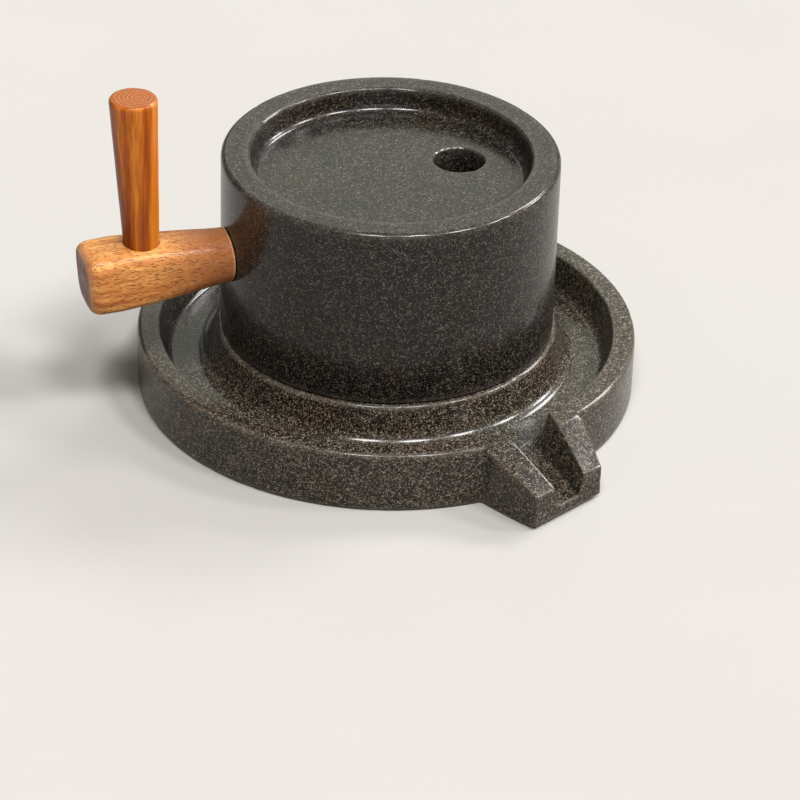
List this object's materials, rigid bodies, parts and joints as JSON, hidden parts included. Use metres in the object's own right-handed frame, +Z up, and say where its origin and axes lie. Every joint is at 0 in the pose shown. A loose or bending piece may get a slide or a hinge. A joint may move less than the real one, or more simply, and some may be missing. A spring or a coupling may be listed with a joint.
{
  "type": "rotary quern",
  "caption": "Round stone hand mill: a runner with a hopper and side handle turns on a bed ringed by a catching tray with a pouring spout.",
  "frame": {"origin": "on the mill's axis, at the underside of the lower stone", "axes": "+Z up along the axis that the runner turns about, -Y along the spout, towards its tip"},
  "size_m": [0.3394, 0.342, 0.214],
  "materials": {
    "lower_stone": "fine-grained dark stone, turned and rubbed smooth, satin",
    "upper_stone": "fine-grained dark stone, turned and rubbed smooth, satin",
    "arm_wood": "planed and oiled hardwood, satin",
    "grip_wood": "turned and varnished wood, semi-gloss"
  },
  "bodies": {
    "bed": {"lower_stone": "lower_stone"},
    "runner": {"upper_stone": "upper_stone", "handle_arm": "arm_wood", "handle_grip": "grip_wood"}
  },
  "joints": [
    {"name": "runner_turn", "type": "hinge", "parent": "bed", "child": "runner", "pos_m": [0, 0, 0.0421], "axis": [0, 0, 1], "continuous": true}
  ]
}
